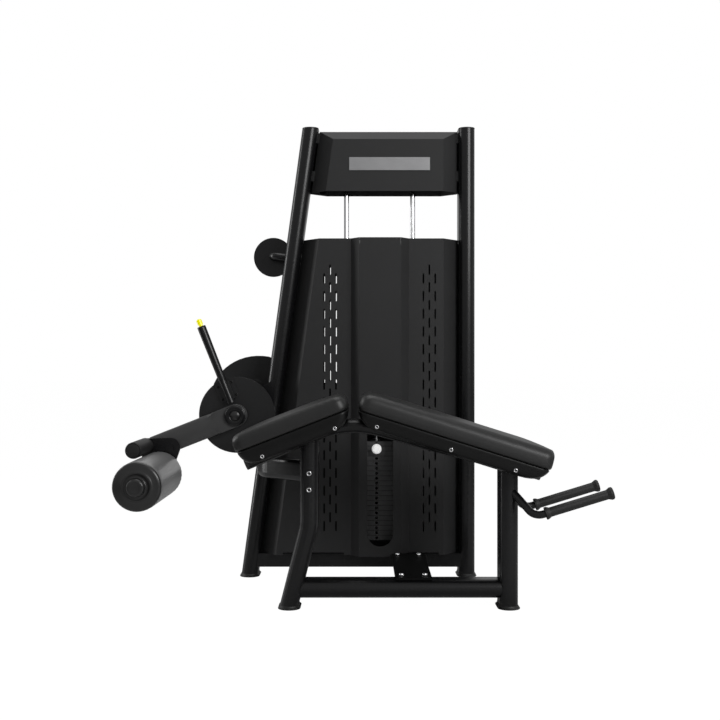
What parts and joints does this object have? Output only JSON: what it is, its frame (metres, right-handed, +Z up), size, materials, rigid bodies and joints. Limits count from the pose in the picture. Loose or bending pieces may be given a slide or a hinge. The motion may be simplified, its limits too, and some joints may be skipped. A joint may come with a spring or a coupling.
{
  "type": "prone leg curl machine",
  "caption": "Lying leg curl machine: shrouded weight tower, peaked two-part bench with head-end grips, and a swinging ankle roller that lifts a pinned plate stack by cam and cable.",
  "frame": {"origin": "middle of the whole machine's box, on the floor", "axes": "+X along the bench towards the head-end grips, +Y from the bench back to the weight tower, +Z up"},
  "size_m": [1.5861, 0.896, 1.68],
  "materials": {
    "frame_paint": "satin",
    "cover_paint": "fine texture",
    "badge_metal": "brushed",
    "rod_chrome": "polished",
    "bare_steel": "satin",
    "plate_iron": "satin",
    "black_rubber": "matte",
    "cable_coat": "gloss",
    "pulley_nylon": "satin",
    "bush_bronze": "satin",
    "black_plastic": "satin",
    "pad_cover": "grained",
    "roller_cover": "satin",
    "button_yellow": "gloss",
    "knob_white": "gloss"
  },
  "bodies": {
    "frame": {"tower_right_upright": "frame_paint", "tower_left_upright": "frame_paint", "tower_base_beam": "frame_paint", "header_crossbars": "frame_paint", "floor_feet": "black_rubber", "header_cover": "cover_paint", "badge_plate": "badge_metal", "front_shroud": "cover_paint", "shroud_window_panel": "cover_paint", "rear_cover": "cover_paint", "guide_rods": "rod_chrome", "rod_collars": "bare_steel", "stack_bumpers": "black_rubber", "weight_plates": "plate_iron", "pulley_bridge": "frame_paint", "pulley_cheeks": "frame_paint", "pulley_axles": "bare_steel", "cable_run": "cable_coat", "cable_drop": "cable_coat", "bearing_housing": "frame_paint", "shaft_bushes": "bush_bronze", "housing_gussets": "frame_paint", "bench_spine": "frame_paint", "spine_plugs": "black_plastic", "bench_right_post": "frame_paint", "bench_left_post": "frame_paint", "bench_base_tube": "frame_paint", "link_tube": "frame_paint", "connector_plate": "frame_paint", "frame_bolts": "bare_steel", "thigh_cushion": "pad_cover", "thigh_shell": "black_plastic", "torso_cushion": "pad_cover", "torso_shell": "black_plastic", "handle_bars": "frame_paint", "hand_grips": "black_rubber", "storage_hook": "frame_paint"},
    "cam": {"cam": "frame_paint", "drive_shaft": "bare_steel", "index_plate": "bare_steel", "cable_wrap": "cable_coat"},
    "arm": {"arm_tube": "frame_paint", "arm_disc": "frame_paint", "hub_cap": "black_plastic", "lever_bracket": "frame_paint", "release_lever": "frame_paint", "link_bolt": "bare_steel"},
    "button": {"release_button": "button_yellow"},
    "ankle": {"ankle_link": "frame_paint", "roller_axle": "bare_steel"},
    "roller": {"roller_core": "black_plastic", "roller_sleeve": "roller_cover", "roller_caps": "black_plastic"},
    "carriage": {"head_plate": "plate_iron", "lifted_plate": "plate_iron", "selector_stem": "bare_steel", "cable_clevis": "rod_chrome"},
    "pin": {"selector_pin": "knob_white"},
    "left_pulley": {"left_pulley": "pulley_nylon"},
    "right_pulley": {"right_pulley": "pulley_nylon"}
  },
  "joints": [
    {"name": "arm_lift", "type": "hinge", "parent": "frame", "child": "cam", "pos_m": [-0.45519, 0.188, 0.616], "axis": [0, 1, 0], "range_deg": [0, 110]},
    {"name": "start_angle", "type": "hinge", "parent": "cam", "child": "arm", "pos_m": [-0.45519, 0.188, 0.616], "axis": [0, 1, 0], "range_deg": [-20, 40]},
    {"name": "release_button", "type": "slide", "parent": "arm", "child": "button", "axis": [0.3665, 0, -0.9304], "range_m": [0, 0.006], "stiffness_N_per_m": 900, "springref_m": -0.002},
    {"name": "ankle_angle", "type": "hinge", "parent": "arm", "child": "ankle", "pos_m": [-0.6801, 0.003, 0.50484], "axis": [0, 1, 0], "range_deg": [-25, 25]},
    {"name": "roller_spin", "type": "hinge", "parent": "ankle", "child": "roller", "pos_m": [-0.71455, -0.212, 0.41495], "axis": [0, 1, 0], "continuous": true},
    {"name": "stack_lift", "type": "slide", "parent": "frame", "child": "carriage", "axis": [0, 0, 1], "range_m": [0, 0.43], "deforming": ["cable_drop"]},
    {"name": "pin_pull", "type": "slide", "parent": "carriage", "child": "pin", "axis": [0, -1, 0], "range_m": [0, 0.04]},
    {"name": "left_pulley_spin", "type": "hinge", "parent": "frame", "child": "left_pulley", "pos_m": [-0.20364, 0.41832, 1.235], "axis": [-0.2934, -0.956, 0], "range_deg": [0, 740]},
    {"name": "right_pulley_spin", "type": "hinge", "parent": "frame", "child": "right_pulley", "pos_m": [0.01026, 0.35268, 1.235], "axis": [-0.2934, -0.956, 0], "range_deg": [0, 740]}
  ],
  "couplings": [
    {"joint": "stack_lift", "follows": "arm_lift", "m_per_rad": 0.22},
    {"joint": "left_pulley_spin", "follows": "arm_lift", "ratio": 6.6667},
    {"joint": "right_pulley_spin", "follows": "arm_lift", "ratio": 6.6667}
  ]
}
